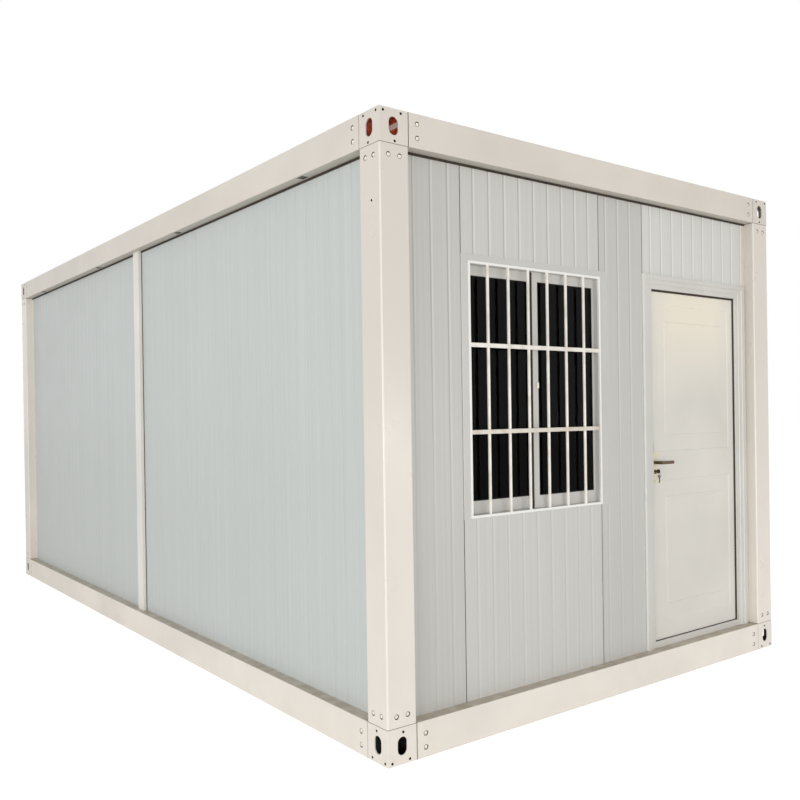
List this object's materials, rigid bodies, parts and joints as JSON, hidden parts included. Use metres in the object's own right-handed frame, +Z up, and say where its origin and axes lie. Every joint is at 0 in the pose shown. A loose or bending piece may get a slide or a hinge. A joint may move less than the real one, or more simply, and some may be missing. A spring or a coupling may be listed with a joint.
{
  "type": "flat pack cabin",
  "caption": "Flat pack steel frame cabin with sandwich panel walls, a barred sliding window and an inward opening door in one end wall.",
  "frame": {"origin": "middle of the footprint at ground level", "axes": "+Z up, +Y from the end wall with the door to the back wall, +X to the right of a person who faces that end wall"},
  "size_m": [3, 5.95, 2.8],
  "materials": {
    "frame_paint": "satin warm white paint",
    "galvanised": "galvanised",
    "cement_board": "raw fibre cement",
    "floor_vinyl": "satin vinyl",
    "ceiling_paint": "satin white",
    "roof_paint": "satin grey",
    "wall_skin": "satin pale grey",
    "joint_paint": "satin warm white",
    "window_frame": "satin white",
    "glass": "clear",
    "guard_paint": "satin white",
    "door_paint": "satin warm white",
    "hinge_steel": "zinc plated",
    "hardware": "satin champagne plating"
  },
  "bodies": {
    "cabin": {"floor_corner_front_left": "frame_paint", "floor_corner_front_right": "frame_paint", "floor_corner_back_left": "frame_paint", "floor_corner_back_right": "frame_paint", "roof_corner_front_left": "frame_paint", "roof_corner_front_right": "frame_paint", "roof_corner_back_left": "frame_paint", "roof_corner_back_right": "frame_paint", "post_front_left": "frame_paint", "post_front_right": "frame_paint", "post_back_left": "frame_paint", "post_back_right": "frame_paint", "floor_beam_front": "frame_paint", "floor_beam_back": "frame_paint", "floor_beam_left": "frame_paint", "floor_beam_right": "frame_paint", "roof_beam_front": "frame_paint", "roof_beam_back": "frame_paint", "roof_beam_left": "frame_paint", "roof_beam_right": "frame_paint", "floor_joists": "galvanised", "roof_purlins": "galvanised", "floor_board": "cement_board", "floor_covering": "floor_vinyl", "ceiling": "ceiling_paint", "roof_sheet": "roof_paint", "left_wall_panels": "wall_skin", "right_wall_panels": "wall_skin", "back_wall_panels": "wall_skin", "front_panel_left": "wall_skin", "panel_under_window": "wall_skin", "panel_over_window": "wall_skin", "front_panel_middle": "wall_skin", "panel_over_door": "wall_skin", "side_wall_joints": "joint_paint", "window_frame": "window_frame", "window_sashes": "window_frame", "window_glass": "glass", "window_guard": "guard_paint", "door_frame": "door_paint", "frame_hinges": "hinge_steel"},
    "door": {"door_leaf": "door_paint", "leaf_hinges": "hinge_steel", "lock_plates": "hardware", "lock_cylinder": "hardware"},
    "handle": {"door_lever": "hardware"}
  },
  "joints": [
    {"name": "door_swing", "type": "hinge", "parent": "cabin", "child": "door", "pos_m": [1.25, -2.84, 1.18], "axis": [0, 0, -1], "range_deg": [0, 90]},
    {"name": "handle_turn", "type": "hinge", "parent": "door", "child": "handle", "pos_m": [0.442, -2.8725, 1.202], "axis": [0, 1, 0], "range_deg": [0, 45], "stiffness_Nm_per_rad": 0.8, "springref_deg": -20.05}
  ]
}
